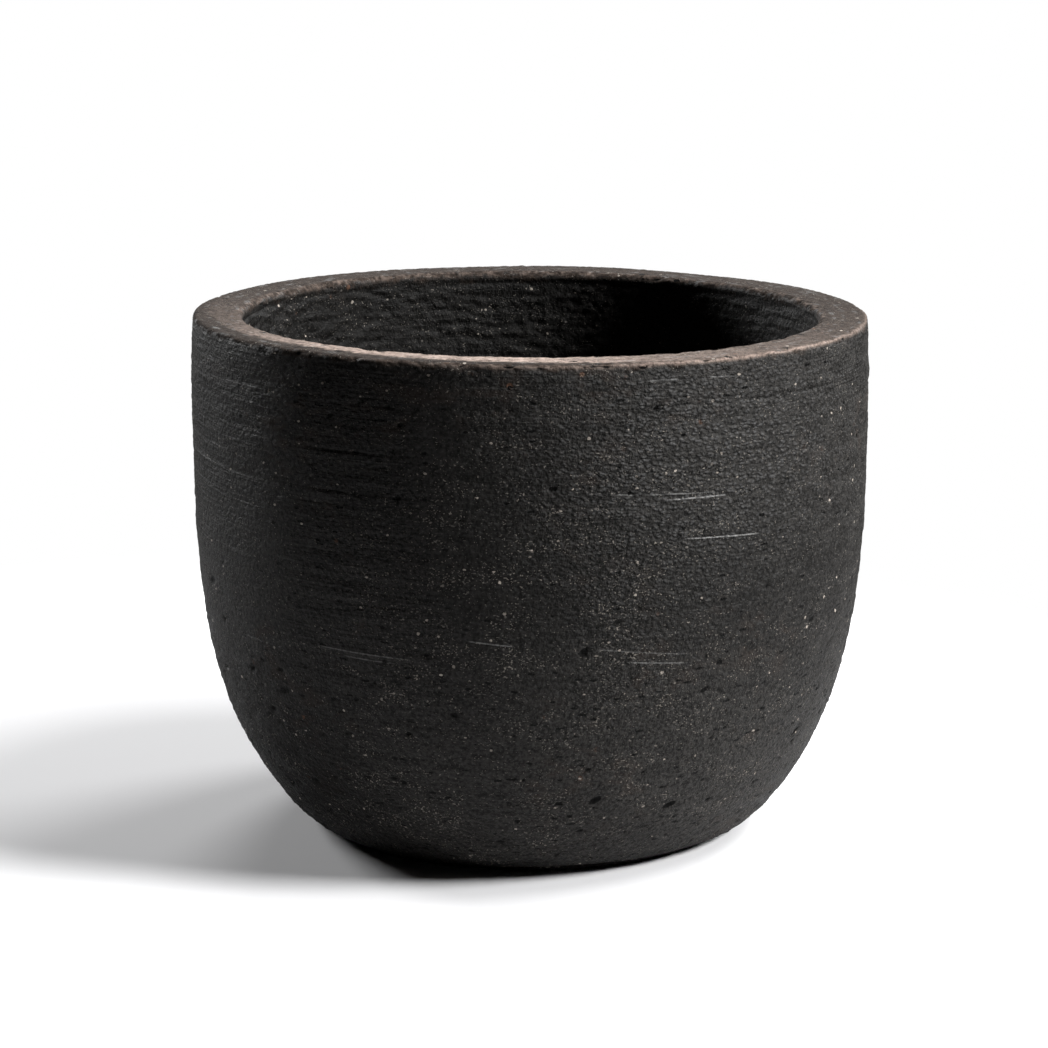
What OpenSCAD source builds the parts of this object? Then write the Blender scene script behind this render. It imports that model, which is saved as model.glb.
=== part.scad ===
// Thick-walled black clay pot, built up by hand: a slab base, four wall coils and a rim coil.
// The coils meet on bevelled joints, which are scored, wetted and pressed together.
// Millimetres, +Z up. The origin is the centre of the resting face, and Z is the pot's axis.

/* [Outside] */
// Diameter across the rim
rim_d = 160; // [140:1:200]
// Height from the resting face to the top of the rim
pot_h = 123; // [115:1:150]
// Diameter of the flat resting face
base_d = 104; // [90:1:116]
// How far the wall swells out past the rim at its widest, on each side
swell = 0.6; // [0:0.1:3]
// Height of the widest level
belly_h = 99; // [85:1:105]

/* [Wall] */
// Thickness of the wall at the rim
wall_t = 11.5; // [9:0.5:14]
// Thickness of the floor
floor_t = 13; // [11:0.5:15]
// Radius of the flat floor inside
floor_r = 40; // [32:1:44]
// How squarely the bowl turns up from its base into the wall
bowl_square = 3.2; // [2.6:0.1:3.6]
// How fast the bowl spreads just above its base
bowl_spread = 1.25; // [1.1:0.05:1.5]

/* [Edges] */
// Radius of the foot's worn edge
foot_round = 1.2; // [0.5:0.1:2.5]
// Radius of the rim's outer edge
rim_round_out = 0.8; // [0.5:0.1:2.5]
// Radius of the rim's inner edge
rim_round_in = 1.8; // [0.5:0.1:2.2]

/* [Coil joints] */
// Height of the base slab's edge, where its top bevels down to the outside face
slab_joint_h = 10; // [8:0.5:10.5]
// Height of the rim coil, measured down the outside face
rim_coil_h = 10; // [9:0.5:14]
// Rise of each bevelled wall joint from the outside face to the inside face
bevel_rise = 6; // [4:0.5:6]

/* [Hidden] */

BLACK_CLAY = [0.16, 0.15, 0.14];
BROWNED_CLAY = [0.31, 0.26, 0.23];

rim_r = rim_d / 2;
base_r = base_d / 2;
belly_r = rim_r + swell;
wall_coils = 4;
wall_coil_h = (pot_h - rim_coil_h - slab_joint_h) / wall_coils;
face_step = 2.2;   // target height of one cone on a curved face
round_steps = 4;   // cones on each rounded edge
edge_run_in = 0.5; // straight stretch between a curved face and a rounded edge
$fn = 96;

// The bowl's curve: 0 at its foot and 1 at its widest level, for a share s of the way up
function bowl(s) = pow(1 - pow(1 - min(max(s, 0), 1), bowl_square), 1 / bowl_spread);

// Radius of the outside face at height z
function outer_r(z) = z <= belly_h
    ? base_r + (belly_r - base_r) * bowl(z / belly_h)
    : belly_r - swell * pow((z - belly_h) / (pot_h - belly_h), 2);

// Radius of the inside face at height z
function inner_r(z) = z <= belly_h
    ? floor_r + (belly_r - wall_t - floor_r) * bowl((z - floor_t) / (belly_h - floor_t))
    : outer_r(z) - wall_t;

// Even heights from z0 to z1, both included
function levels(z0, z1) = let (n = max(1, ceil(abs(z1 - z0) / face_step)))
    [for (i = [0:n]) z0 + (z1 - z0) * i / n];

function outer_face(z0, z1) = [for (z = levels(z0, z1)) [outer_r(z), z]];
function inner_face(z0, z1) = [for (z = levels(z0, z1)) [inner_r(z), z]];

// A quarter turn of radius r about centre c, from angle a0 to a1
function edge_round(c, r, a0, a1) =
    [for (i = [0:round_steps]) let (a = a0 + (a1 - a0) * i / round_steps) c + r * [cos(a), sin(a)]];

// Heights of the joint under wall coil k, counted from 0, at the outside and the inside face.
// The first coil sits on the slab's bevelled edge, so that joint's inside edge is at the floor.
function joint_out_h(k) = slab_joint_h + k * wall_coil_h;
function joint_in_h(k) = k == 0 ? floor_t : joint_out_h(k) + bevel_rise;

// One wall coil, pulled thin between its two bevelled joints
module wall_coil(k) {
    rotate_extrude()
        polygon(concat(
            outer_face(joint_out_h(k), joint_out_h(k + 1)),
            inner_face(joint_in_h(k + 1), joint_in_h(k))));
}

// Pressed-out slab: the floor, the resting face, the foot's edge and the start of the bowl
module base_slab() {
    color(BLACK_CLAY)
        rotate_extrude()
            polygon(concat(
                [[0, 0]],
                edge_round([base_r, foot_round], foot_round, -90, 0),
                outer_face(2 * foot_round, slab_joint_h),
                [[floor_r, floor_t], [0, floor_t]]));
}

module foot_coil() { color(BLACK_CLAY) wall_coil(0); }

module lower_wall_coil() { color(BLACK_CLAY) wall_coil(1); }

module middle_wall_coil() { color(BLACK_CLAY) wall_coil(2); }

module upper_wall_coil() { color(BLACK_CLAY) wall_coil(3); }

// Finishing coil: a flat top with two worn, rounded edges
module rim_coil() {
    outer_c = [rim_r - rim_round_out, pot_h - rim_round_out];
    inner_c = [rim_r - wall_t + rim_round_in, pot_h - rim_round_in];
    color(BROWNED_CLAY)
        rotate_extrude()
            polygon(concat(
                outer_face(joint_out_h(wall_coils), outer_c[1] - edge_run_in),
                edge_round(outer_c, rim_round_out, 0, 90),
                edge_round(inner_c, rim_round_in, 90, 180),
                inner_face(inner_c[1] - edge_run_in, joint_in_h(wall_coils))));
}

base_slab();
foot_coil();
lower_wall_coil();
middle_wall_coil();
upper_wall_coil();
rim_coil();
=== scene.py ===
import math

import bpy
import numpy as np
from mathutils import Euler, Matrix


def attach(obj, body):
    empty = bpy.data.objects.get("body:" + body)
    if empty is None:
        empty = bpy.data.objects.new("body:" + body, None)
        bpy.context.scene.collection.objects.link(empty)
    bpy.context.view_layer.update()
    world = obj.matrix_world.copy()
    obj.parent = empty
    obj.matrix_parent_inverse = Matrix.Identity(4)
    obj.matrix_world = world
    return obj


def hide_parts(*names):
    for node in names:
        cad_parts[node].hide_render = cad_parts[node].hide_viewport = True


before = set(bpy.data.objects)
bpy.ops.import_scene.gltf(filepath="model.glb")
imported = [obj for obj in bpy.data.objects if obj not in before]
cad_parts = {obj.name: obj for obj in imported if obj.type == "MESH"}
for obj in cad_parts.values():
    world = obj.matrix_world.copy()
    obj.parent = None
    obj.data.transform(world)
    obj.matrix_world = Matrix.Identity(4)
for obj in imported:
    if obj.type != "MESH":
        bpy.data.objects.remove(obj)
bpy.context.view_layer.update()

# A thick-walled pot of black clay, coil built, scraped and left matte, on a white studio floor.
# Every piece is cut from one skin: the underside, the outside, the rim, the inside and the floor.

# ---------------------------------------------------------------- sizes, the same as the CAD part

MM = 0.001
POT_H = 123 * MM
RIM_R = 80 * MM
BASE_R = 52 * MM
SWELL = 0.6 * MM
BELLY_H = 99 * MM
BELLY_R = RIM_R + SWELL
WALL = 11.5 * MM
FLOOR_T = 13 * MM
FLOOR_R = 40 * MM
BOWL_SQUARE = 3.2
BOWL_SPREAD = 1.25
FOOT_ROUND = 1.2 * MM
RIM_ROUND_OUT = 0.8 * MM
RIM_ROUND_IN = 1.8 * MM
SLAB_JOINT_H = 10 * MM
RIM_COIL_H = 10 * MM
BEVEL_RISE = 6 * MM
COILS = ["foot_coil", "lower_wall_coil", "middle_wall_coil", "upper_wall_coil"]
COIL_H = (POT_H - RIM_COIL_H - SLAB_JOINT_H) / len(COILS)
JOINT_OUT = [SLAB_JOINT_H + COIL_H * k for k in range(len(COILS) + 1)]
JOINT_IN = [FLOOR_T] + [height + BEVEL_RISE for height in JOINT_OUT[1:]]

# ---------------------------------------------------------------- how finely the skin is divided

COARSE = 1
COLUMNS = 900 // COARSE
OUTSIDE_STEP = 0.48 * MM * COARSE
RIM_STEP = 0.35 * MM * COARSE
MOUTH_STEP = 0.6 * MM * COARSE
INSIDE_STEP = 1.1 * MM * COARSE
FLOOR_STEP = 1.4 * MM * COARSE
UNDERSIDE_STEP = 2.4 * MM * COARSE
JOINT_STEP = 3.0 * MM
JOINT_LIP = 0.3 * MM
MIDDLE_R = 1.0 * MM
MAP_STEP = 0.48 * MM * COARSE
COLUMN_STEP = 2 * math.pi * RIM_R / COLUMNS
SEED = 11

THETA = np.arange(COLUMNS) * 2 * math.pi / COLUMNS
FACING = (np.degrees(THETA) + 90 + 180) % 360 - 180  # 0 towards the camera, + to its right


# ---------------------------------------------------------------- the pot's outline

def bowl(share):
    return (1 - (1 - np.clip(share, 0, 1)) ** BOWL_SQUARE) ** (1 / BOWL_SPREAD)


def outer_radius(z):
    below = BASE_R + (BELLY_R - BASE_R) * bowl(z / BELLY_H)
    above = BELLY_R - SWELL * ((z - BELLY_H) / (POT_H - BELLY_H)) ** 2
    return np.where(z <= BELLY_H, below, above)


def inner_radius(z):
    widest = BELLY_R - WALL
    below = FLOOR_R + (widest - FLOOR_R) * bowl((z - FLOOR_T) / (BELLY_H - FLOOR_T))
    return np.where(z <= BELLY_H, below, outer_radius(z) - WALL)


def face_line(radius_at, z0, z1):
    z = np.linspace(z0, z1, 120)
    return np.column_stack([radius_at(z), z])


def edge_line(centre, radius, start, end):
    angle = np.radians(np.linspace(start, end, 12))
    return np.column_stack([centre[0] + radius * np.cos(angle), centre[1] + radius * np.sin(angle)])


def resampled(line, step):
    """Evenly spaced points along a line, with both of its ends kept"""
    along = np.concatenate([[0], np.cumsum(np.hypot(*np.diff(line, axis=0).T))])
    count = max(3, int(round(along[-1] / step)) + 1)
    at = np.linspace(0, along[-1], count)
    return np.column_stack([np.interp(at, along, line[:, 0]), np.interp(at, along, line[:, 1])])


def skin_sections():
    """(name, outline, step) from the middle of the underside round to the middle of the floor"""
    foot = edge_line((BASE_R - FOOT_ROUND, FOOT_ROUND), FOOT_ROUND, -90, 0)
    outer_edge = edge_line((RIM_R - RIM_ROUND_OUT, POT_H - RIM_ROUND_OUT), RIM_ROUND_OUT, 0, 90)
    inner_centre = (RIM_R - WALL + RIM_ROUND_IN, POT_H - RIM_ROUND_IN)
    inner_edge = edge_line(inner_centre, RIM_ROUND_IN, 90, 180)
    rim = np.vstack([
        face_line(outer_radius, JOINT_OUT[-1], outer_edge[0, 1] - 0.4 * MM),
        outer_edge,
        inner_edge,
        face_line(inner_radius, inner_edge[-1, 1] - 0.4 * MM, JOINT_IN[-1])])
    sections = [
        ("underside", np.array([[MIDDLE_R, 0], foot[0]]), UNDERSIDE_STEP),
        ("foot", np.vstack([foot, face_line(outer_radius, 2 * FOOT_ROUND, JOINT_OUT[0])]), OUTSIDE_STEP)]
    for k, coil in enumerate(COILS):
        outside = face_line(outer_radius, JOINT_OUT[k], JOINT_OUT[k + 1])
        sections.append((coil + " outside", outside, OUTSIDE_STEP))
    sections.append(("rim", rim, RIM_STEP))
    for k, coil in reversed(list(enumerate(COILS))):
        inside = face_line(inner_radius, JOINT_IN[k + 1], JOINT_IN[k])
        step = MOUTH_STEP if coil == COILS[-1] else INSIDE_STEP
        sections.append((coil + " inside", inside, step))
    sections.append(("floor", np.array([[FLOOR_R, FLOOR_T], [MIDDLE_R, FLOOR_T]]), FLOOR_STEP))
    return sections


def skin_rows():
    """All the skin's rows as (radius, height), and {section: (first row, last row)}"""
    rows, spans = [], {}
    for name, line, step in skin_sections():
        points = resampled(line, step)
        first = len(rows) - 1 if rows else 0
        rows.extend(points[1:] if rows else points)
        spans[name] = (first, len(rows) - 1)
    return np.array(rows), spans


ROWS, SPANS = skin_rows()
ALONG = np.concatenate([[0], np.cumsum(np.hypot(*np.diff(ROWS, axis=0).T))])

# The surface maps are even grids: one line every MAP_STEP along the skin, one column per THETA
MAP_ALONG = np.arange(0, ALONG[-1] + MAP_STEP, MAP_STEP)
MAP_R = np.interp(MAP_ALONG, ALONG, ROWS[:, 0])[:, None]
MAP_Z = np.interp(MAP_ALONG, ALONG, ROWS[:, 1])[:, None]
FOOT_ALONG = ALONG[SPANS["foot"][0]]
RIM_ALONG = ALONG[SPANS["rim"][0]]
OUTER_EDGE_ALONG = RIM_ALONG + RIM_COIL_H - 0.25 * MM
INNER_EDGE_ALONG = OUTER_EDGE_ALONG + WALL - 0.7 * MM
FLOOR_ALONG = ALONG[SPANS["floor"][0]]


# ---------------------------------------------------------------- maps of the surface

GRAIN_BAND = 0.5  # how far a grain's size spreads, as the deviation of its natural logarithm


def smooth(value, low, high):
    share = np.clip((value - low) / (high - low), 0, 1)
    return share * share * (3 - 2 * share)


def between(value, low, high, soft):
    return smooth(value, low - soft, low + soft) * (1 - smooth(value, high - soft, high + soft))


def turn_from(facing):
    """Degrees round the pot from a facing, the short way"""
    return (FACING - facing + 180) % 360 - 180


def patch(facing, half_turn, height, half_height):
    """A soft oval patch on the wall"""
    return np.exp(-(turn_from(facing)[None] / half_turn) ** 2 - ((MAP_Z - height) / half_height) ** 2)


def shaped_noise(seed, keep):
    """Seamless noise as (lines, columns), deviation 1; keep weighs its waves per metre round and up"""
    rng = np.random.default_rng(SEED * 1000 + seed)
    white = rng.standard_normal((len(MAP_ALONG), COLUMNS))
    waves = np.meshgrid(
        np.fft.fftfreq(COLUMNS, COLUMN_STEP), np.fft.fftfreq(len(MAP_ALONG), MAP_STEP))
    field = np.fft.ifft2(np.fft.fft2(white) * keep(*waves)).real
    return (field - field.mean()) / field.std()


def grain(size_round, size_up, seed, slant=0.0):
    """Noise with grains of about that size, turned by slant radians"""
    def keep(round_f, up_f):
        turned_round = round_f * math.cos(slant) + up_f * math.sin(slant)
        turned_up = up_f * math.cos(slant) - round_f * math.sin(slant)
        pitch = np.hypot(turned_round * size_round, turned_up * size_up)
        return np.exp(-(np.log(pitch + 1e-6) / GRAIN_BAND) ** 2 / 2)
    return shaped_noise(seed, keep)


def swells(size_round, size_up, seed):
    """Broad, soft noise with nothing finer than that size"""
    def keep(round_f, up_f):
        return np.exp(-((round_f * size_round) ** 2 + (up_f * size_up) ** 2) * 2)
    return shaped_noise(seed, keep)


def press(field, facing, along, length, width, depth, tilt=0.0, square=2.0):
    """Adds one oval dent to a map: depth at its middle, length round the pot, tilt in radians"""
    reach = max(length, width) * 0.75
    line = int((along - reach) / MAP_STEP), int((along + reach) / MAP_STEP) + 2
    line = max(line[0], 0), min(line[1], len(MAP_ALONG))
    column = int(round((math.radians(facing) - math.pi / 2) / (2 * math.pi) * COLUMNS))
    span = int(reach / COLUMN_STEP) + 1
    columns = np.arange(column - span, column + span + 1)
    across = (columns - column)[None] * COLUMN_STEP
    up = (MAP_ALONG[line[0]:line[1]] - along)[:, None]
    u = (across * math.cos(tilt) + up * math.sin(tilt)) / (length / 2)
    v = (up * math.cos(tilt) - across * math.sin(tilt)) / (width / 2)
    shape = np.exp(-(np.abs(u) ** square + np.abs(v) ** square))
    target = field[line[0]:line[1], :]
    target[:, columns % COLUMNS] += depth * shape


def along_at(height, inside=False):
    """Where on the skin a height on the outside, or on the inside, is"""
    rows = slice(SPANS["foot"][0], SPANS["rim"][0] + 1)
    if inside:
        rows = slice(SPANS["rim"][1], SPANS["floor"][0] + 1)
        return float(np.interp(-height, -ROWS[rows, 1], ALONG[rows]))
    return float(np.interp(height, ROWS[rows, 1], ALONG[rows]))


OUTSIDE = between(MAP_ALONG, FOOT_ALONG, OUTER_EDGE_ALONG, 0.6 * MM)[:, None]
RIM_TOP = between(MAP_ALONG, OUTER_EDGE_ALONG, INNER_EDGE_ALONG, 0.6 * MM)[:, None]
INSIDE = between(MAP_ALONG, INNER_EDGE_ALONG, FLOOR_ALONG, 0.6 * MM)[:, None]
FLAT_FLOOR = smooth(MAP_ALONG, FLOOR_ALONG - 1 * MM, FLOOR_ALONG + 4 * MM)[:, None]
UNDERSIDE = 1 - smooth(MAP_ALONG, FOOT_ALONG - 2 * MM, FOOT_ALONG)[:, None]

# Where the wet clay was patted into leathery grain, and where it was dragged round in ridges
LEATHER = OUTSIDE * np.clip(
    0.14
    + patch(28, 27, 102 * MM, 24 * MM)
    + 0.25 * patch(30, 24, 76 * MM, 20 * MM)
    + 0.30 * patch(10, 22, 62 * MM, 24 * MM)
    + 0.7 * patch(160, 50, 80 * MM, 34 * MM), 0, 1)
DRAGGED = OUTSIDE * np.clip(
    0.25
    + patch(-58, 44, 84 * MM, 60 * MM)
    + 0.5 * patch(0, 50, 60 * MM, 12 * MM)
    + 0.5 * patch(14, 60, 22 * MM, 22 * MM)
    + 0.8 * patch(36, 36, 113 * MM, 10 * MM)
    + 0.6 * patch(-100, 60, 50 * MM, 60 * MM)
    + 0.6 * patch(110, 40, 70 * MM, 30 * MM), 0, 1)
LOW = 1 - smooth(MAP_Z, 34 * MM, 74 * MM)
# Where pale crumbs of sand and a thin coat of dust show, from none at 0; low on the front this is also
# painted bounce light from the floor
DUST_AND_BOUNCE_LIGHT = np.clip(
    0.42
    + 0.35 * OUTSIDE * patch(14, 40, 92 * MM, 40 * MM)
    # painted bounce light from the floor, low on the front, along with more sand there
    + 0.9 * OUTSIDE * patch(8, 56, 16 * MM, 30 * MM)
    + 0.5 * OUTSIDE * patch(-4, 26, 66 * MM, 26 * MM)
    + 0.8 * OUTSIDE * patch(-170, 60, 20 * MM, 34 * MM), 0, 1)
# Where the clay is made blacker: smoke patches and soot, and painted shade at the foot, low on the left
# and inside
SOOT_AND_PAINTED_SHADE = np.clip(
    # painted contact shade along the foot, where it meets the floor
    0.85 * OUTSIDE * (1 - smooth(MAP_Z, 0.5 * MM, 5.5 * MM))
    + 0.46 * OUTSIDE * patch(20, 42, 70 * MM, 24 * MM)
    + 0.26 * OUTSIDE * patch(-4, 14, 92 * MM, 34 * MM)
    # painted shade low on the left, next to the pot's own shadow
    + 0.85 * OUTSIDE * patch(-50, 34, 14 * MM, 32 * MM)
    # inside: soot all round, painted heavier on the left where the key light falls and lighter on the
    # shaded right
    + INSIDE * (0.36 + 0.37 * smooth(-np.sin(np.radians(FACING)), -0.6, 0.6)[None]), 0, 1)


PIT_TRIES = 1500
LARGE_PITS = 22
SHORT_GROOVES = 60
GRIT_GRAINS = 1600
EDGE_CHIPS = 150
GROOVE_WIDTH = 0.9 * MM
LONG_GROOVE_DEPTH = 0.15 * MM


def empty_map():
    return np.zeros((len(MAP_ALONG), COLUMNS))


def pits():
    """Small holes left by grit that was dragged out, mostly low on the wall"""
    rng = np.random.default_rng(SEED + 1)
    field = empty_map()
    for _ in range(PIT_TRIES):
        height = rng.uniform(2, 119) * MM
        if rng.uniform() > 0.16 + 0.84 * (1 - float(smooth(height, 26 * MM, 72 * MM))):
            continue
        width = rng.uniform(0.8, 1.25) * MM
        length = width * rng.uniform(1.0, 2.4)
        press(field, rng.uniform(-180, 180), along_at(height), length, width,
              -width * rng.uniform(0.15, 0.5), rng.normal(0.12, 0.2))
    for _ in range(LARGE_PITS):
        width = rng.uniform(1.2, 1.8) * MM
        press(field, rng.uniform(-180, 180), along_at(rng.uniform(6, 70) * MM),
              width * rng.uniform(1.4, 3.0), width, -0.45 * width, rng.normal(0.15, 0.3))
    return field


# Dragged lines that show clearly: (facing of the middle, height, length), in degrees and mm
LONG_GROOVES = [
    (-43, 93, 84), (-33, 102.3, 38), (-38, 90, 22), (-24, 55.5, 22), (-6, 59, 24),
    (32, 57, 20), (38, 118, 44), (42, 114, 36), (30, 109.5, 26), (37, 106, 30),
    (26, 101, 26), (150, 88, 60), (-150, 70, 44), (95, 64, 36), (78, 108, 50)]


def grooves():
    """Thin lines dragged round the wall by grit under the scraper"""
    rng = np.random.default_rng(SEED + 2)
    field = empty_map()
    for facing, height, length in LONG_GROOVES:
        press(field, facing, along_at(height * MM), length * MM,
              GROOVE_WIDTH, -LONG_GROOVE_DEPTH, 0.0, 4.0)
    for _ in range(SHORT_GROOVES):
        facing = rng.normal(-55, 35) if rng.uniform() < 0.5 else rng.uniform(-180, 180)
        press(field, facing, along_at(rng.uniform(14, 116) * MM), rng.uniform(5, 30) * MM,
              GROOVE_WIDTH, -rng.uniform(0.04, 0.12) * MM, rng.normal(0, 0.012), 4.0)
    return field


def grit():
    """Coarse sand in the clay that stands just proud of the surface"""
    rng = np.random.default_rng(SEED + 3)
    field = empty_map()
    for _ in range(GRIT_GRAINS):
        size = rng.uniform(0.7, 1.3) * MM
        press(field, rng.uniform(-180, 180), along_at(rng.uniform(2, 120) * MM), size, size,
              0.12 * size)
    return field


def rim_chips():
    """Crumbled places along both edges of the rim"""
    rng = np.random.default_rng(SEED + 4)
    field = empty_map()
    for edge, spread, turn in ((OUTER_EDGE_ALONG, 0.5 * MM, 48), (INNER_EDGE_ALONG, 0.9 * MM, 100)):
        for _ in range(EDGE_CHIPS):
            size = rng.uniform(0.6, 1.7) * MM
            press(field, 10 + rng.normal(0, turn), edge + rng.normal(0, 1) * spread,
                  size * rng.uniform(1, 2.2), size, -0.2 * size)
    press(field, 152, INNER_EDGE_ALONG + 0.4 * MM, 5 * MM, 1.6 * MM, -0.7 * MM, 0.25)
    return field


def outside_relief():
    relief = 0.13 * MM * swells(60 * MM, 34 * MM, 1)
    relief += 0.05 * MM * grain(26 * MM, 10 * MM, 2)
    relief += LEATHER * 0.07 * MM * np.tanh(grain(2.9 * MM, 1.9 * MM, 3, slant=-0.35))
    relief += 0.03 * MM * grain(2.4 * MM, 2.0 * MM, 4)
    relief += DRAGGED * 0.022 * MM * grain(40 * MM, 1.6 * MM, 5)
    relief += DRAGGED * 0.025 * MM * grain(70 * MM, 4 * MM, 6)
    relief += LOW * 0.05 * MM * grain(7 * MM, 2.4 * MM, 7)
    return relief + PITS + GROOVES + GRIT


def inside_relief():
    depth_in = POT_H - MAP_Z
    coarse = 0.5 + 0.5 * smooth(turn_from(-130), -120, -60) * (1 - smooth(turn_from(-130), 60, 120))
    rough = smooth(depth_in, 2.2 * MM, 5 * MM) * coarse
    relief = 0.06 * MM * grain(30 * MM, 2.4 * MM, 11)
    relief += rough * 0.12 * MM * grain(15 * MM, 3.6 * MM, 12)
    relief += rough * 0.08 * MM * grain(7 * MM, 2.2 * MM, 13)
    relief += rough * 0.05 * MM * grain(3.4 * MM, 2.0 * MM, 14)
    ledge = between(depth_in, 2.6 * MM, 3.6 * MM, 0.5 * MM) * smooth(turn_from(180), -130, -20)
    return relief - 0.2 * MM * ledge


def rim_relief():
    relief = 0.07 * MM * swells(40 * MM, 20 * MM, 21)
    relief += 0.025 * MM * grain(30 * MM, 1.6 * MM, 22)
    relief += 0.035 * MM * grain(3 * MM, 2 * MM, 23)
    return relief


def flat_relief(radius_kept):
    """Relief for the floor or the underside, fading out where the columns crowd together"""
    relief = 0.1 * MM * grain(20 * MM, 8 * MM, 31) + 0.05 * MM * grain(5 * MM, 3 * MM, 32)
    return relief * smooth(MAP_R, 0.1 * radius_kept, radius_kept)


PITS = pits()
GROOVES = grooves()
GRIT = grit()
CHIPS = rim_chips()


def relief_map():
    relief = OUTSIDE * outside_relief() + RIM_TOP * rim_relief() + CHIPS
    relief += INSIDE * (1 - FLAT_FLOOR) * inside_relief() + FLAT_FLOOR * flat_relief(FLOOR_R)
    pressed_in = -np.abs(flat_relief(BASE_R))
    return relief * (1 - UNDERSIDE) + UNDERSIDE * pressed_in


# How far the rim's top has worn pale at each facing, and its outer edge likewise
FACINGS = [-180, -110, -70, -35, 0, 22, 45, 70, 95, 180]
TOP_WORN = [0.02, 0.02, 0.17, 0.84, 1.00, 0.40, 0.22, 0.07, 0.02, 0.02]
EDGE_WORN = [0.12, 0.08, 0.02, 0.02, 0.35, 0.80, 0.90, 0.50, 0.18, 0.12]
# The share of the top, from its outer edge, that stays brown
TOP_KEPT = [0.0, 0.1, 0.42, 0.46, 0.32, 0.05, 0.0, 0.0, 0.0, 0.0]


def rim_wear_map():
    """Where the rim's brown skin has worn off, as shares from 0 to 1"""
    ragged = grain(9 * MM, 3 * MM, 41) * 0.5 + grain(2.5 * MM, 1.6 * MM, 42) * 0.5
    across = (MAP_ALONG - OUTER_EDGE_ALONG)[:, None] / (INNER_EDGE_ALONG - OUTER_EDGE_ALONG)
    kept = np.interp(FACING, FACINGS, TOP_KEPT)[None]
    top = RIM_TOP * smooth(across + 0.05 * ragged, kept - 0.08, kept + 0.12)
    top = top * np.interp(FACING, FACINGS, TOP_WORN)[None] * np.clip(0.85 + 0.3 * ragged, 0, 1)
    from_edge = (MAP_ALONG - OUTER_EDGE_ALONG)[:, None] + 0.15 * MM * ragged
    edge = np.exp(-(from_edge / (0.5 * MM)) ** 2) * np.interp(FACING, FACINGS, EDGE_WORN)[None]
    inner = np.exp(-((MAP_ALONG - INNER_EDGE_ALONG)[:, None] / (1.0 * MM)) ** 2)
    inner = inner * np.clip(0.10 + 0.16 * ragged, 0, 1)
    return np.clip(np.maximum(np.maximum(top, edge), inner), 0, 1)


def brown_map():
    """The browned rim, which runs a little way down both faces with a ragged edge"""
    ragged = grain(14 * MM, 3 * MM, 43) * 0.35 * MM + grain(3 * MM, 1.6 * MM, 44) * 0.2 * MM
    down_outside = np.maximum(OUTER_EDGE_ALONG - MAP_ALONG, 0)[:, None]
    down_inside = np.maximum(MAP_ALONG - INNER_EDGE_ALONG, 0)[:, None]
    return 1 - smooth(down_outside + down_inside * 0.55 + ragged, 0.3 * MM, 1.1 * MM)


RELIEF = relief_map()
# What the materials read from the skin's points, each from 0 to 1
LAYERS = {
    "worn": rim_wear_map(),
    "browned": brown_map(),
    # painted shade in the pits and the rim chips
    "painted_pit_shade": smooth(-(PITS + 0.5 * CHIPS), 0.12 * MM, 0.36 * MM),
    "leather": LEATHER,
    "dragged": DRAGGED,
    "outside": OUTSIDE,
    "dust_and_painted_bounce": DUST_AND_BOUNCE_LIGHT,
    "low": OUTSIDE * LOW,
    "soot_and_painted_shade": SOOT_AND_PAINTED_SHADE,
}


def on_rows(field):
    """A map's values at every row of the skin"""
    at = ALONG / MAP_STEP
    low = np.clip(at.astype(int), 0, len(MAP_ALONG) - 2)
    share = (at - low)[:, None]
    return field[low] * (1 - share) + field[low + 1] * share


# ---------------------------------------------------------------- the skin and the pieces cut from it

def skin_points():
    """Every point of the skin as (row, column, xyz)"""
    slope = np.gradient(ROWS, ALONG, axis=0)
    normal = np.column_stack([slope[:, 1], -slope[:, 0]])
    normal /= np.hypot(*normal.T)[:, None]
    height = on_rows(RELIEF)
    radius = ROWS[:, :1] + normal[:, :1] * height
    z = ROWS[:, 1:] + normal[:, 1:] * height
    return np.stack([radius * np.cos(THETA), radius * np.sin(THETA), z], axis=-1)


def skin_normals(points):
    up = np.gradient(points, axis=0)
    around = np.roll(points, -1, axis=1) - np.roll(points, 1, axis=1)
    normal = np.cross(around, up)
    return normal / np.linalg.norm(normal, axis=-1, keepdims=True)


POINTS = skin_points()
NORMALS = skin_normals(POINTS)
SKIN_LAYERS = {name: on_rows(np.broadcast_to(field, (len(MAP_ALONG), COLUMNS)))
               for name, field in LAYERS.items()}


def joint_shares(start, end):
    """How far across a joint its own rows lie, with one row close inside each edge"""
    width = float(np.linalg.norm(ROWS[end] - ROWS[start]))
    lip = JOINT_LIP / width
    inner = max(1, int((width - 2 * JOINT_LIP) / JOINT_STEP))
    return np.linspace(lip, 1 - lip, inner + 1)


def strip(first, last):
    """Skin rows first to last as blocks of (points, normals, layers)"""
    rows = slice(first, last + 1)
    return [POINTS[rows], NORMALS[rows], {name: field[rows] for name, field in SKIN_LAYERS.items()}]


def joint(start, end):
    """The rows of a joint's face, from skin row start across the wall to skin row end"""
    shares = joint_shares(start, end)[:, None, None]
    points = POINTS[start] * (1 - shares) + POINTS[end] * shares
    across = POINTS[end] - POINTS[start]
    around = np.roll(POINTS[start], -1, axis=0) - np.roll(POINTS[start], 1, axis=0)
    normal = np.cross(around, across)
    normal = np.broadcast_to(normal / np.linalg.norm(normal, axis=-1, keepdims=True), points.shape)
    bare = np.zeros(points.shape[:2])
    return [points, normal, {name: bare for name in SKIN_LAYERS}]


def stacked(*strips):
    points = np.concatenate([s[0] for s in strips])
    normals = np.concatenate([s[1] for s in strips])
    layers = {name: np.concatenate([s[2][name] for s in strips]) for name in SKIN_LAYERS}
    return points, normals, layers


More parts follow.
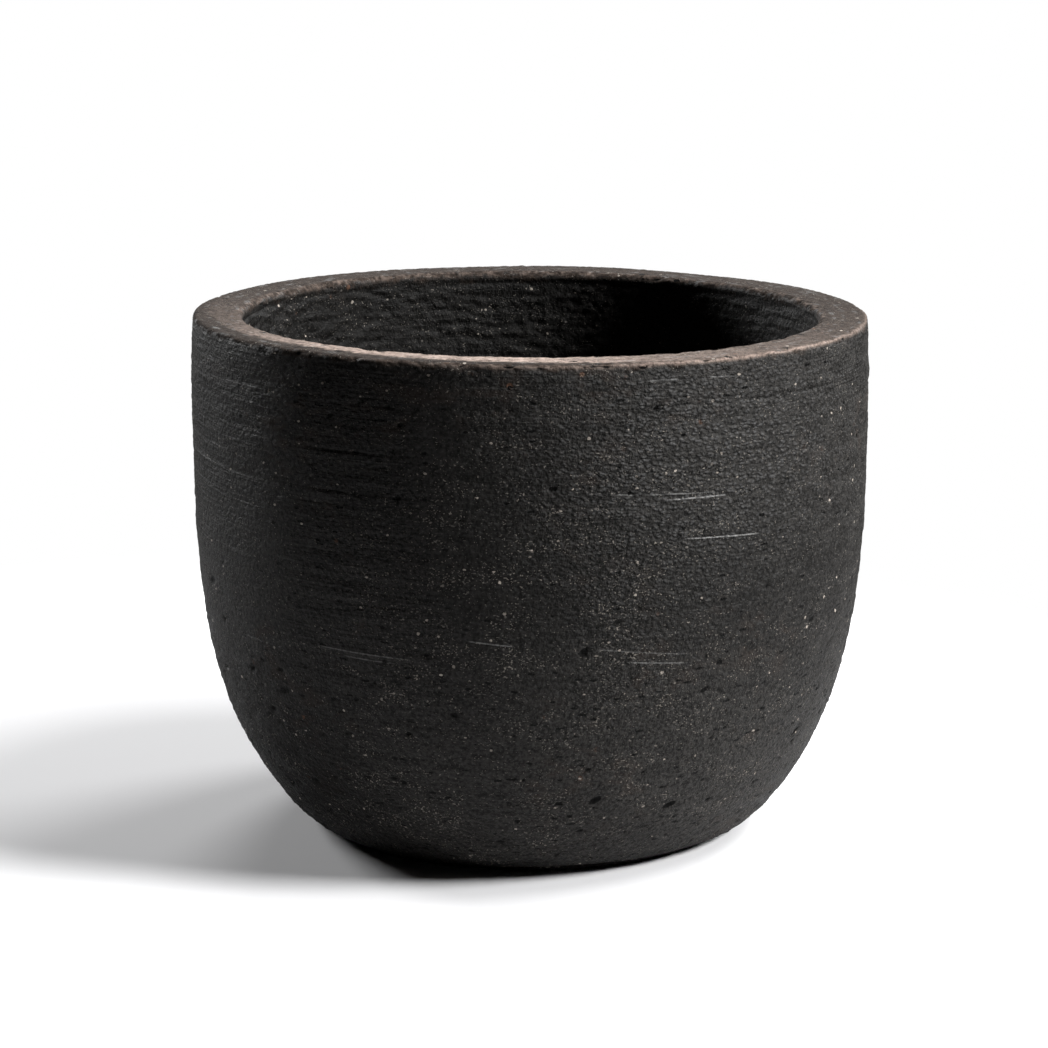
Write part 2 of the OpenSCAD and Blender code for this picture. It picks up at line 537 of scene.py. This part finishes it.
def ring_faces(rows, closed):
    """Quads between neighbouring rows, and the (row, column) of each"""
    count = rows if closed else rows - 1
    row, column = np.meshgrid(np.arange(count), np.arange(COLUMNS), indexing="ij")
    above, right = (row + 1) % rows, (column + 1) % COLUMNS
    quads = np.stack([
        row * COLUMNS + column, row * COLUMNS + right,
        above * COLUMNS + right, above * COLUMNS + column], axis=-1)
    return quads.reshape(-1, 4), row.ravel(), column.ravel()


FOLDS = 3
GAP = 0.006


def unrolled(points, row, column, closed):
    """Where each quad's corners go in the flat layout: the ring is unrolled and folded in three"""
    outline = points[:, 0]
    if closed:
        outline = np.concatenate([outline, outline[:1]])
    step = np.linalg.norm(np.diff(outline, axis=0), axis=1)
    up = np.concatenate([[0], np.cumsum(step)])
    up /= up[-1]
    width = COLUMNS / FOLDS
    fold = np.minimum((column / width).astype(int), FOLDS - 1)
    corners = []
    for right, above in ((0, 0), (1, 0), (1, 1), (0, 1)):
        u = GAP + (1 - 2 * GAP) * np.clip((column + right - fold * width) / width, 0, 1)
        v = (fold + GAP + (1 - 2 * GAP) * up[row + above]) / FOLDS
        corners.append(np.stack([u, v], axis=-1))
    return np.stack(corners, axis=1)


def new_piece(name, node, points, normals, layers, faces, flat_layout):
    mesh = bpy.data.meshes.new(name)
    mesh.from_pydata(points.reshape(-1, 3), [], faces)
    layout = mesh.uv_layers.new(name="OFBake")
    layout.data.foreach_set("uv", flat_layout.reshape(-1).astype(np.float32))
    for layer, values in layers.items():
        mesh.attributes.new(layer, "FLOAT", "POINT").data.foreach_set("value", values.ravel())
    mesh.validate()
    mesh.polygons.foreach_set("use_smooth", np.ones(len(mesh.polygons), bool))
    mesh.normals_split_custom_set_from_vertices(normals.reshape(-1, 3))
    piece = bpy.data.objects.new(name, mesh)
    bpy.context.scene.collection.objects.link(piece)
    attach(piece, "root")
    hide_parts(node)
    return piece


def ring_piece(name, node, slot, *strips):
    points, normals, layers = stacked(*strips)
    faces, row, column = ring_faces(len(points), closed=True)
    layout = unrolled(points, row, column, closed=True)
    return new_piece(name, node, points, normals, layers, faces, layout)


def wall_coil_piece(coil, material):
    outside, inside = SPANS[coil + " outside"], SPANS[coil + " inside"]
    piece = ring_piece(
        coil + "_clay", coil, "black_clay",
        strip(*outside), joint(outside[1], inside[0]),
        strip(*inside), joint(inside[1], outside[0]))
    piece.data.materials.append(material)


def rim_piece(material):
    rim = SPANS["rim"]
    piece = ring_piece("rim_coil_clay", "rim_coil", "browned_rim", strip(*rim), joint(rim[1], rim[0]))
    piece.data.materials.append(material)


UNDER_DISC = (0.25, 0.75)   # middles and width of the two discs in the slab's flat layout
FLOOR_DISC = (0.75, 0.75)
DISC_WIDTH = 0.46


def disc_layout(points, centre):
    """Flat layout of a disc seen from above"""
    return points[..., :2] / (2 * BASE_R) * DISC_WIDTH + np.array(centre)


def slab_layout(points, faces, row, column, first_top_row, last_under_row):
    """The slab's flat layout: its ring in the lower half, the underside and the floor as discs"""
    layout = unrolled(points, row, column, closed=False) * np.array([1, 0.5])
    corner = points.reshape(-1, 3)[faces]
    under = row < last_under_row
    top = row >= first_top_row
    layout[under] = disc_layout(corner[under], UNDER_DISC)
    layout[top] = disc_layout(corner[top], FLOOR_DISC)
    return layout


def end_fans(count):
    """Triangles that close the first row round point count, and the last row round the next point"""
    ring = np.arange(COLUMNS)
    following = (ring + 1) % COLUMNS
    last = count - COLUMNS
    return [np.column_stack([following, ring, np.full(COLUMNS, count)]),
            np.column_stack([ring + last, following + last, np.full(COLUMNS, count + 1)])]


def slab_piece(material):
    """The base: its underside, the foot's edge, the bevelled joint and the floor"""
    underside, foot, floor = SPANS["underside"], SPANS["foot"], SPANS["floor"]
    points, normals, layers = stacked(
        strip(underside[0], foot[1]), joint(foot[1], floor[0]), strip(*floor))
    faces, row, column = ring_faces(len(points), closed=False)
    first_top_row = len(points) - (floor[1] - floor[0]) - 1
    layout = slab_layout(points, faces, row, column, first_top_row, underside[1])
    below, above = [0, 0, points[0, :, 2].mean()], [0, 0, points[-1, :, 2].mean()]
    all_points = np.vstack([points.reshape(-1, 3), below, above])
    all_normals = np.vstack([normals.reshape(-1, 3), [0, 0, -1], [0, 0, 1]])
    all_layers = {name: np.append(values.ravel(), [0, 0]) for name, values in layers.items()}
    under_fan, floor_fan = end_fans(len(all_points) - 2)
    all_faces = faces.tolist() + under_fan.tolist() + floor_fan.tolist()
    all_layout = np.concatenate([
        layout.ravel(),
        disc_layout(all_points[under_fan], UNDER_DISC).ravel(),
        disc_layout(all_points[floor_fan], FLOOR_DISC).ravel()])
    piece = new_piece("base_slab_clay", "base_slab",
                      all_points, all_normals, all_layers, all_faces, all_layout)
    piece.data.materials.append(material)


# ---------------------------------------------------------------- materials

def add_node(tree, kind, links=None, values=None, **settings):
    node = tree.nodes.new("ShaderNode" + kind)
    for name, value in settings.items():
        setattr(node, name, value)
    for socket, value in (values or {}).items():
        node.inputs[socket].default_value = value
    for socket, source in (links or {}).items():
        tree.links.new(source, node.inputs[socket])
    return node


def calculate(tree, operation, a, b):
    node = add_node(tree, "Math", operation=operation, use_clamp=False)
    for socket, value in ((0, a), (1, b)):
        if isinstance(value, (int, float)):
            node.inputs[socket].default_value = value
        else:
            tree.links.new(value, node.inputs[socket])
    return node.outputs[0]


def ramp(tree, source, low, high, start=0.0, end=1.0):
    node = add_node(
        tree, "MapRange", {"Value": source},
        {"From Min": low, "From Max": high, "To Min": start, "To Max": end},
        interpolation_type="SMOOTHSTEP")
    return node.outputs[0]


def blend(tree, share, a, b):
    node = add_node(tree, "Mix", {0: share}, data_type="RGBA")
    for socket, colour in ((6, a), (7, b)):
        if isinstance(colour, tuple):
            node.inputs[socket].default_value = (*colour, 1)
        else:
            tree.links.new(colour, node.inputs[socket])
    return node.outputs[2]


def noise(tree, place, scale, detail=3.0, roughness=0.55):
    values = {"Scale": scale, "Detail": detail, "Roughness": roughness}
    return add_node(tree, "TexNoise", {"Vector": place}, values).outputs["Fac"]


def stretched(tree, place, scale):
    return add_node(tree, "Mapping", {"Vector": place}, {"Scale": scale}).outputs[0]


def cells(tree, place, per_metre):
    """Scattered points: the distance to the nearest, in metres, and two throws of its dice"""
    made = add_node(tree, "TexVoronoi", {"Vector": place}, {"Scale": per_metre, "Randomness": 1.0})
    away = calculate(tree, "DIVIDE", made.outputs["Distance"], per_metre)
    dice = add_node(tree, "SeparateColor", {"Color": made.outputs["Color"]})
    return away, dice.outputs[0], dice.outputs[1]


def add(tree, a, b):
    return calculate(tree, "ADD", a, b)


def times(tree, a, b):
    return calculate(tree, "MULTIPLY", a, b)


def dots(tree, away, radius, dice, share):
    """Round dots about that share of the points"""
    near = ramp(tree, away, radius, 0.7 * radius)
    return times(tree, near, calculate(tree, "LESS_THAN", dice, share))


CLAY_DARK = (0.0085, 0.0080, 0.0074)
CLAY_PALE = (0.0325, 0.0312, 0.0297)
# painted highlight colour for the tops of the leathery grain
CLAY_TOP_HIGHLIGHT = (0.100, 0.100, 0.101)
CLAY_WARM = (0.040, 0.028, 0.022)
# near black: painted shade in pits, chips and slits, and smoke, soot and painted shade on the wall
PAINTED_SHADE_AND_SOOT_COLOUR = (0.002, 0.0018, 0.0016)
DUST = (0.095, 0.088, 0.081)
SAND = (0.25, 0.225, 0.195)
CREAM = (0.42, 0.37, 0.32)
RUST = (0.17, 0.085, 0.050)
SCRATCH_COLOUR = (0.30, 0.296, 0.29)
RIM_BROWN = (0.040, 0.030, 0.024)
RIM_DARK = (0.018, 0.0135, 0.011)
RIM_PALE = (0.47, 0.365, 0.31)

# Features per metre of the clay's noises and of its scattered points
PATCHES_PER_M = 34
MOTTLES_PER_M = 150
GRAINS_PER_M = 1150
CROWDS_PER_M = 75
SPECKS_PER_M = 2000
FLECKS_PER_M = 470
CRUMBS_PER_M = 240
SLITS_PER_M = 560
PEBBLES_PER_M = 860
STREAK_STRETCH = (36, 36, 1500)
FLECK_RADIUS = 0.32 * MM
CRUMB_RADIUS = 0.44 * MM
RUST_RADIUS = 0.8 * MM
SLIT_RADIUS = 0.42 * MM    # before the stretch, which makes a slit three times as long as it is high

SCRATCH_CORE = 0.06 * MM   # half widths of a scratch's full strength and of its fade
SCRATCH_EDGE = 0.24 * MM
# Pale hairlines on the wall: (from and to in degrees of facing, height at each end in mm, strength)
SCRATCHES = [
    (13.5, 16.5, 94.5, 94.1, 0.8), (22, 33, 92.6, 92.5, 1.0), (17.5, 31, 94.1, 93.4, 0.45),
    (24, 40, 83.7, 82.6, 1.0), (-10, -2, 61.7, 60.7, 0.8), (-37.5, -18, 56.7, 56.3, 0.40),
    (-32, -21, 55.4, 55.0, 0.35), (10, 28, 60.0, 56.8, 0.30), (14.5, 27, 56.6, 55.0, 0.50),
    (18, 24, 119.0, 119.0, 0.55), (28.5, 34, 119.0, 118.6, 0.50)]


def scratch(tree, facing, height, start, end, start_height, end_height, strength):
    """One straight hairline round the wall"""
    middle, half = math.radians((start + end) / 2), math.radians((end - start) / 2)
    slope = (end_height - start_height) * MM / (2 * half)
    along = calculate(tree, "SUBTRACT", facing, middle)
    above = calculate(tree, "SUBTRACT", height, (start_height + end_height) / 2 * MM)
    above = calculate(tree, "SUBTRACT", above, times(tree, along, slope))
    above = calculate(tree, "ABSOLUTE", above, 0.0)
    along = calculate(tree, "ABSOLUTE", along, 0.0)
    across = ramp(tree, above, SCRATCH_CORE, SCRATCH_EDGE, strength, 0.0)
    within = ramp(tree, along, 0.6 * half, half, 1.0, 0.0)
    return times(tree, across, within)


def scratches(tree, place, outside):
    """All the hairlines, as a share from 0 to 1"""
    axes = add_node(tree, "SeparateXYZ", {"Vector": place})
    behind = times(tree, axes.outputs["Y"], -1.0)
    facing = calculate(tree, "ARCTAN2", axes.outputs["X"], behind)
    found = 0.0
    for settings in SCRATCHES:
        line = scratch(tree, facing, axes.outputs["Z"], *settings)
        found = calculate(tree, "MAXIMUM", line, found)
    return times(tree, found, outside)


def pebbled(tree, place):
    """Leathery grain, in mm of height: low domes about 1.5 mm wide and 1 mm tall"""
    shift = add_node(tree, "TexNoise", {"Vector": place}, {"Scale": 500.0, "Detail": 1.0})
    shift = add_node(tree, "VectorMath", {0: shift.outputs["Color"]}, {1: (0.0011, 0.0011, 0.0008)},
                     operation="MULTIPLY").outputs[0]
    moved = add_node(tree, "VectorMath", {0: place, 1: shift}, operation="ADD").outputs[0]
    domes = add_node(tree, "TexVoronoi", {"Vector": stretched(tree, moved, (0.85, 0.85, 1.45))},
                     {"Scale": PEBBLES_PER_M})
    return ramp(tree, domes.outputs["Distance"], 0.0, 0.8, 0.25, 0.0)


def clay_noises(tree, place):
    """The noises that the clay's colour and its relief share"""
    return {
        "patches": noise(tree, place, PATCHES_PER_M, 3),
        "mottles": noise(tree, stretched(tree, place, (1, 1, 1.8)), MOTTLES_PER_M, 4, 0.6),
        "grains": noise(tree, place, GRAINS_PER_M, 3, 0.68),
        "streaks": noise(tree, stretched(tree, place, STREAK_STRETCH), 1.0, 2, 0.5),
        "pebbles": pebbled(tree, place)}


def sand_crowd(tree, place, layer):
    """How thick the sand lies, from 0 to 1"""
    crowd = noise(tree, stretched(tree, place, (1, 1, 2.2)), CROWDS_PER_M, 4, 0.6)
    return times(tree, ramp(tree, crowd, 0.38, 0.66), layer["dust_and_painted_bounce"])


def clay_marks(tree, place, layer, noises):
    """Sand of three sizes, slits and rusty spots as shares from 0 to 1, and the tone of the sand"""
    ragged = ramp(tree, noises["grains"], 0.3, 0.7, -0.12 * MM, 0.14 * MM)
    crowd = sand_crowd(tree, place, layer)

    specks = noise(tree, stretched(tree, place, (1, 1, 1.3)), SPECKS_PER_M, 1, 0.5)
    specks = ramp(tree, add(tree, specks, ramp(tree, crowd, 0, 1, 0.015, 0.095)), 0.70, 0.76)

    away, dice, fleck_tone = cells(tree, stretched(tree, place, (0.75, 0.75, 1.1)), FLECKS_PER_M)
    share = ramp(tree, crowd, 0, 1, 0.07, 0.58)
    flecks = dots(tree, add(tree, away, ragged), FLECK_RADIUS, dice, share)

    away, dice, crumb_tone = cells(tree, place, CRUMBS_PER_M)
    share = ramp(tree, crowd, 0, 1, 0.10, 0.55)
    crumbs = dots(tree, add(tree, away, ragged), CRUMB_RADIUS, dice, share)
    mottled = ramp(tree, noises["mottles"], 0.48, 0.6)
    warm = times(tree, ramp(tree, noises["patches"], 0.54, 0.66), mottled)
    rust = dots(tree, away, RUST_RADIUS, calculate(tree, "SUBTRACT", 1.0, dice), 0.4)

    away, dice, _ = cells(tree, stretched(tree, place, (0.38, 0.38, 1.15)), SLITS_PER_M)
    share = ramp(tree, layer["low"], 0, 1, 0.18, 0.60)
    slits = dots(tree, add(tree, away, ragged), SLIT_RADIUS, dice, share)
    return {
        "specks": specks, "flecks": flecks, "fleck_tone": fleck_tone,
        "crumbs": crumbs, "crumb_tone": crumb_tone,
        "warm": warm, "rust": times(tree, rust, warm), "slits": slits}


def bare_clay(tree, layer, noises, marks):
    """Colour of the clay: mottled, with painted highlights on the grain's tops, a thin coat of dust that
    low on the front is painted bounce light, and blackened by smoke, soot and painted shade
    """
    tone = add(tree, noises["grains"], times(tree, noises["mottles"], 0.7))
    colour = blend(tree, ramp(tree, tone, 0.65, 1.05), CLAY_DARK, CLAY_PALE)
    tops = add(tree, noises["pebbles"], times(tree, noises["grains"], 0.2))
    # painted highlight: paler tops wherever the grain is leathery
    painted_top_highlight = times(tree, layer["leather"], ramp(tree, tops, 0.19, 0.35, 0.05, 0.9))
    colour = blend(tree, painted_top_highlight, colour, CLAY_TOP_HIGHLIGHT)
    colour = blend(tree, ramp(tree, noises["streaks"], 0.5, 0.72, 0, 0.55), colour, CLAY_DARK)
    colour = blend(tree, times(tree, marks["warm"], 0.5), colour, CLAY_WARM)
    # a thin coat of dust, which low on the front is painted bounce light from the floor
    dust_and_bounce_coat = times(tree, layer["dust_and_painted_bounce"], ramp(tree, noises["grains"], 0.35, 0.65, 0.02, 0.31))
    colour = blend(tree, dust_and_bounce_coat, colour, DUST)
    # smoke, soot and painted shade: the foot, low on the left and the inside
    return blend(tree, layer["soot_and_painted_shade"], colour, PAINTED_SHADE_AND_SOOT_COLOUR)


def browned_clay(tree, layer, noises, colour):
    """The rim's brown skin, worn through to pale clay"""
    brown = blend(tree, ramp(tree, noises["grains"], 0.35, 0.65), RIM_DARK, RIM_BROWN)
    colour = blend(tree, layer["browned"], colour, brown)
    worn = times(tree, layer["worn"], ramp(tree, noises["grains"], 0.3, 0.6, 0.4, 1.0))
    return blend(tree, worn, colour, RIM_PALE)


def marked_clay(tree, place, layer, noises, marks, colour):
    """The same colour with its sand, rust and scratches, and painted shade in its pits, chips and slits
    """
    speck_colour = blend(tree, ramp(tree, noises["mottles"], 0.35, 0.65), DUST, SAND)
    colour = blend(tree, marks["specks"], colour, speck_colour)
    colour = blend(tree, times(tree, marks["rust"], 0.7), colour, RUST)
    fleck_colour = blend(tree, ramp(tree, marks["fleck_tone"], 0.2, 0.9), DUST, CREAM)
    colour = blend(tree, marks["flecks"], colour, fleck_colour)
    crumb_colour = blend(tree, ramp(tree, marks["crumb_tone"], 0.2, 0.8), SAND, CREAM)
    colour = blend(tree, marks["crumbs"], colour, crumb_colour)
    scratched = scratches(tree, place, layer["outside"])
    scratched = times(tree, scratched, ramp(tree, noises["grains"], 0.34, 0.56, 0.35, 1.0))
    colour = blend(tree, scratched, colour, SCRATCH_COLOUR)
    # painted shade in the pits, chips and slits
    holes = calculate(tree, "MAXIMUM", ramp(tree, layer["painted_pit_shade"], 0.25, 0.75), marks["slits"])
    return blend(tree, holes, colour, PAINTED_SHADE_AND_SOOT_COLOUR)


def clay_height(tree, layer, noises, marks):
    """The finest relief, in mm"""
    height = times(tree, noises["pebbles"], layer["leather"])
    rough = ramp(tree, layer["low"], 0.0, 1.0, 0.46, 0.62)
    height = add(tree, height, times(tree, noises["grains"], rough))
    ridged = ramp(tree, layer["dragged"], 0.0, 1.0, 0.11, 0.23)
    height = add(tree, height, times(tree, noises["streaks"], ridged))
    sand = calculate(tree, "MAXIMUM", marks["specks"], marks["flecks"])
    sand = calculate(tree, "MAXIMUM", sand, marks["crumbs"])
    height = add(tree, height, times(tree, sand, 0.07))
    return calculate(tree, "SUBTRACT", height, times(tree, marks["slits"], 0.40))


def clay_material(name, rim):
    """Black clay with sand in it; the rim's has its browned and worn skin too"""
    material = bpy.data.materials.new(name)
    material.use_nodes = True
    tree = material.node_tree
    tree.nodes.clear()
    place = add_node(tree, "TexCoord").outputs["Object"]
    layer = {key: add_node(tree, "Attribute", attribute_name=key).outputs["Fac"] for key in LAYERS}
    noises = clay_noises(tree, place)
    marks = clay_marks(tree, place, layer, noises)
    colour = bare_clay(tree, layer, noises, marks)
    rough = ramp(tree, noises["mottles"], 0.3, 0.7, 0.5, 0.66)
    if rim:
        colour = browned_clay(tree, layer, noises, colour)
        rough = calculate(tree, "MAXIMUM", rough, layer["browned"])
    colour = marked_clay(tree, place, layer, noises, marks, colour)
    height = clay_height(tree, layer, noises, marks)
    bump = add_node(tree, "Bump", {"Height": height}, {"Strength": 1.0, "Distance": MM})
    shader = add_node(
        tree, "BsdfPrincipled",
        {"Base Color": colour, "Roughness": rough, "Normal": bump.outputs[0]},
        {"Specular IOR Level": 0.14})
    output = add_node(tree, "OutputMaterial")
    tree.links.new(shader.outputs[0], output.inputs["Surface"])
    return material


# ---------------------------------------------------------------- studio

FLOOR_LIT = 0.17       # radius in which the floor takes light and shadow
FLOOR_FADE = 0.27      # radius beyond which it is plain white to the camera and dark to the pot
LIT_MIDDLE = (-0.04, 0.02, 0)
FLOOR_COLOUR = (0.86, 0.86, 0.87)
FLOOR_TO_POT = (0.57, 0.57, 0.58)
LIGHT_DISTANCE = 2.2
# name: (degrees round from the camera to its right, degrees above the floor, width, watts)
LIGHTS = {
    "key": (72, 34, 0.60, 70.0),
    "key_high": (83, 58, 0.75, 29.0),
    "back_right": (140, 30, 0.90, 31.0),
    "back": (-177, 31, 0.90, 22.0),
    "back_left": (-132, 21, 0.70, 35.0),
}


def from_facing(facing, height, distance):
    turn, rise = math.radians(facing), math.radians(height)
    return (distance * math.cos(rise) * math.sin(turn),
            -distance * math.cos(rise) * math.cos(turn),
            distance * math.sin(rise) + POT_H / 2)


def floor_material():
    material = bpy.data.materials.new("studio_white")
    material.use_nodes = True
    tree = material.node_tree
    tree.nodes.clear()
    place = add_node(tree, "TexCoord").outputs["Object"]
    away = add_node(tree, "VectorMath", {0: place}, {1: LIT_MIDDLE}, operation="DISTANCE")
    away = away.outputs["Value"]
    beyond = ramp(tree, away, FLOOR_LIT, FLOOR_FADE)
    seen = add_node(tree, "LightPath").outputs["Is Camera Ray"]
    paper = add_node(tree, "BsdfDiffuse", {"Color": blend(tree, seen, FLOOR_TO_POT, FLOOR_COLOUR)})
    glow = add_node(tree, "Emission", {"Strength": seen}, {"Color": (1, 1, 1, 1)})
    mixed = add_node(tree, "MixShader", {0: beyond, 1: paper.outputs[0], 2: glow.outputs[0]})
    output = add_node(tree, "OutputMaterial")
    tree.links.new(mixed.outputs[0], output.inputs["Surface"])
    return material


def studio_floor():
    mesh = bpy.data.meshes.new("studio_floor")
    reach = 30.0
    mesh.from_pydata([(-reach, -reach, 0), (reach, -reach, 0), (reach, reach, 0), (-reach, reach, 0)],
                     [], [(0, 1, 2, 3)])
    floor = bpy.data.objects.new("studio_floor", mesh)
    bpy.context.scene.collection.objects.link(floor)
    floor.location.z = -0.0002
    mesh.materials.append(floor_material())


def studio_world():
    """White to the camera only; all of the light comes from the lamps and the lit floor"""
    world = bpy.data.worlds.new("studio")
    bpy.context.scene.world = world
    world.use_nodes = True
    tree = world.node_tree
    tree.nodes.clear()
    seen = add_node(tree, "LightPath").outputs["Is Camera Ray"]
    background = add_node(tree, "Background", {"Strength": seen}, {"Color": (1, 1, 1, 1)})
    output = add_node(tree, "OutputWorld")
    tree.links.new(background.outputs[0], output.inputs["Surface"])


def studio_light(name, facing, height, size, power):
    light = bpy.data.lights.new(name, "AREA")
    light.shape = "DISK"
    light.size = size
    light.energy = power
    lamp = bpy.data.objects.new(name, light)
    lamp.location = from_facing(facing, height, LIGHT_DISTANCE)
    lamp.rotation_euler = Euler((math.radians(90 - height), 0, math.radians(facing)))
    lamp.visible_camera = False
    bpy.context.scene.collection.objects.link(lamp)


CAMERA_PLACE = (0, -0.7283, 0.2310)
CAMERA_TILT = 77.587
CAMERA_TURN = 0.104
CAMERA_ROLL = 0.27
CAMERA_LENS = 105.69


def studio_camera():
    camera = bpy.data.objects.new("camera", bpy.data.cameras.new("camera"))
    camera.data.lens = CAMERA_LENS
    camera.data.sensor_width = 36
    camera.location = CAMERA_PLACE
    aim = Euler((math.radians(CAMERA_TILT), 0, math.radians(CAMERA_TURN))).to_matrix()
    roll = Euler((0, 0, math.radians(CAMERA_ROLL))).to_matrix()
    camera.rotation_euler = (aim @ roll).to_euler()
    bpy.context.scene.collection.objects.link(camera)
    bpy.context.scene.camera = camera


# ---------------------------------------------------------------- build

wall_clay = clay_material("black_clay", rim=False)
rim_clay = clay_material("browned_rim", rim=True)
slab_piece(wall_clay)
for coil_name in COILS:
    wall_coil_piece(coil_name, wall_clay)
rim_piece(rim_clay)
studio_floor()
studio_world()
for light_name, light_settings in LIGHTS.items():
    studio_light(light_name, *light_settings)
studio_camera()
bpy.context.scene.view_settings.view_transform = "Standard"
